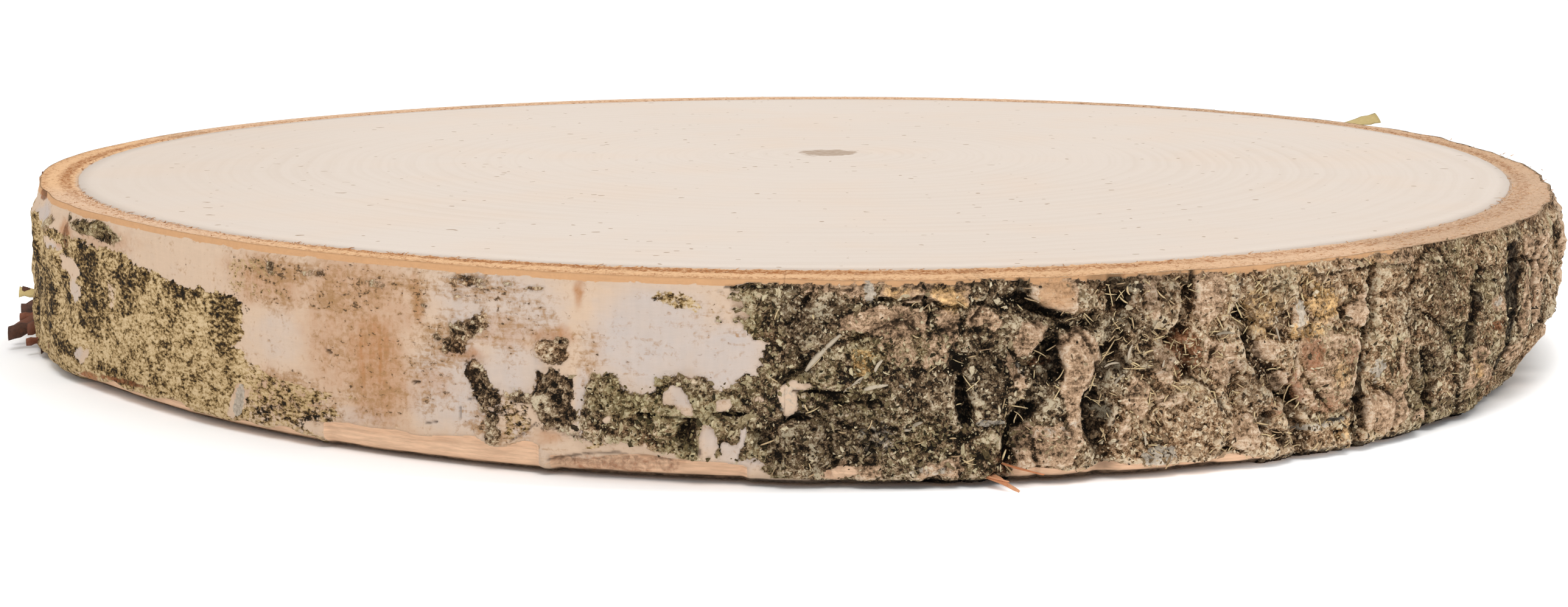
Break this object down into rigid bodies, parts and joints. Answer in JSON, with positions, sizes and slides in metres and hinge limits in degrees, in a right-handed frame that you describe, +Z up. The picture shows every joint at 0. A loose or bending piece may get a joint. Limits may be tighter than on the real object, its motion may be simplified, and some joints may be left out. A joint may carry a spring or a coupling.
{
  "type": "birch wood slice",
  "caption": "Flat round slice sawn across a birch trunk, bark on: smooth papery bark on one side, cracked mossy bark on the other.",
  "frame": {"origin": "on the lower sawn face, under the middle of the slice", "axes": "+Z up through the thickness, from the lower sawn face to the upper one; -Y towards the side with the change from papery to cracked bark, +X towards the cracked side"},
  "size_m": [0.1425, 0.1431, 0.0154],
  "materials": {
    "bark": "rough birch bark, papery white and tan on one side, cracked grey-brown on the other",
    "wood": "raw sawn end grain, pale cream with faint growth rings",
    "moss": "dry crumbs and threads of lichen and moss, matte"
  },
  "bodies": {
    "root": {"birch_slice": "bark"}
  },
  "joints": []
}
